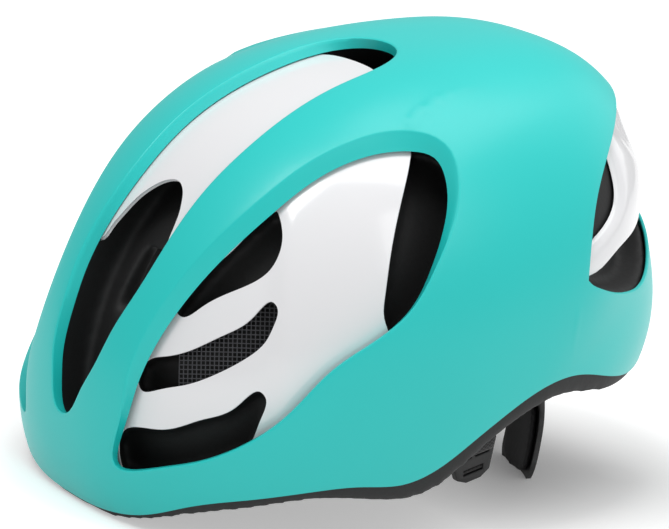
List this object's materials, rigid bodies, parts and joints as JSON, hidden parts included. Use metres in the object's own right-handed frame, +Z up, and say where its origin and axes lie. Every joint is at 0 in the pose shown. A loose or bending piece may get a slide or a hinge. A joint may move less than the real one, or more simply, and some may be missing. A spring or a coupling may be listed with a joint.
{
  "type": "cycling helmet",
  "caption": "Road cycling helmet with a smooth teal shell, white inset panels and a dial-adjusted rear cradle.",
  "frame": {"origin": "centre of the bottom of the box around the helmet, on the surface that it stands on", "axes": "+X to the wearer's left, +Y to the rear, +Z up; the helmet stands nose-down on its front lip and its cradle"},
  "size_m": [0.198, 0.2896, 0.1911],
  "materials": {
    "teal_shell": "satin",
    "white_gloss": "gloss",
    "black_foam": "matte",
    "net_mesh": "matte",
    "pad_cloth": "matte",
    "hook_tape": "matte",
    "black_nylon": "satin",
    "webbing": "matte",
    "black_rubber": "matte",
    "soft_pad": "matte",
    "screw_steel": "satin"
  },
  "bodies": {
    "helmet": {"outer_shell": "teal_shell", "crown_panel": "white_gloss", "side_panel_left": "white_gloss", "side_panel_right": "white_gloss", "rear_arch": "white_gloss", "foam_liner": "black_foam", "net_left": "net_mesh", "net_right": "net_mesh", "brow_pad": "pad_cloth", "crown_pad": "pad_cloth", "side_pad_left": "pad_cloth", "side_pad_right": "pad_cloth", "pad_hooks": "hook_tape", "temple_pin_left": "black_nylon", "temple_pin_right": "black_nylon", "height_rail": "black_nylon", "strap_anchors": "black_nylon", "front_strap_left": "webbing", "front_strap_right": "webbing", "rear_strap_left": "webbing", "rear_strap_right": "webbing", "strap_divider_left": "black_nylon", "strap_divider_right": "black_nylon", "chin_strap_left": "webbing", "chin_strap_right": "webbing", "buckle_socket": "black_nylon", "strap_keeper": "black_rubber", "chin_pad": "pad_cloth"},
    "fit_frame": {"fit_band_left": "black_nylon", "fit_band_right": "black_nylon", "dial_housing": "black_nylon", "housing_cover": "black_nylon", "housing_screws": "screw_steel", "height_strip": "black_nylon", "cradle": "black_nylon", "cradle_pads": "soft_pad"},
    "dial": {"dial_knob": "black_nylon", "dial_grip": "black_rubber", "drive_pinion": "black_nylon"},
    "left_arm": {"fit_arm_left": "black_nylon"},
    "right_arm": {"fit_arm_right": "black_nylon"},
    "buckle": {"buckle_prong": "black_nylon"}
  },
  "joints": [
    {"name": "height_adjust", "type": "hinge", "parent": "helmet", "child": "fit_frame", "pos_m": [0, -0.02312, 0.06588], "axis": [1, 0, 0], "range_deg": [-4, 5]},
    {"name": "dial_turn", "type": "hinge", "parent": "fit_frame", "child": "dial", "pos_m": [0, 0.11484, 0.05022], "axis": [0, 0.9936, -0.1127], "range_deg": [-104, 104]},
    {"name": "left_arm_travel", "type": "hinge", "parent": "fit_frame", "child": "left_arm", "pos_m": [0, 0.03535, 0.05924], "axis": [0, 0.1127, 0.9936], "range_deg": [-8.3, 8.3]},
    {"name": "right_arm_travel", "type": "hinge", "parent": "fit_frame", "child": "right_arm", "pos_m": [0, 0.03535, 0.05924], "axis": [0, 0.1127, 0.9936], "range_deg": [-8.3, 8.3]},
    {"name": "buckle_release", "type": "slide", "parent": "helmet", "child": "buckle", "axis": [-1, 0, 0], "range_m": [0, 0.018]}
  ],
  "couplings": [
    {"joint": "left_arm_travel", "follows": "dial_turn", "ratio": -0.078571},
    {"joint": "right_arm_travel", "follows": "dial_turn", "ratio": 0.078571}
  ]
}
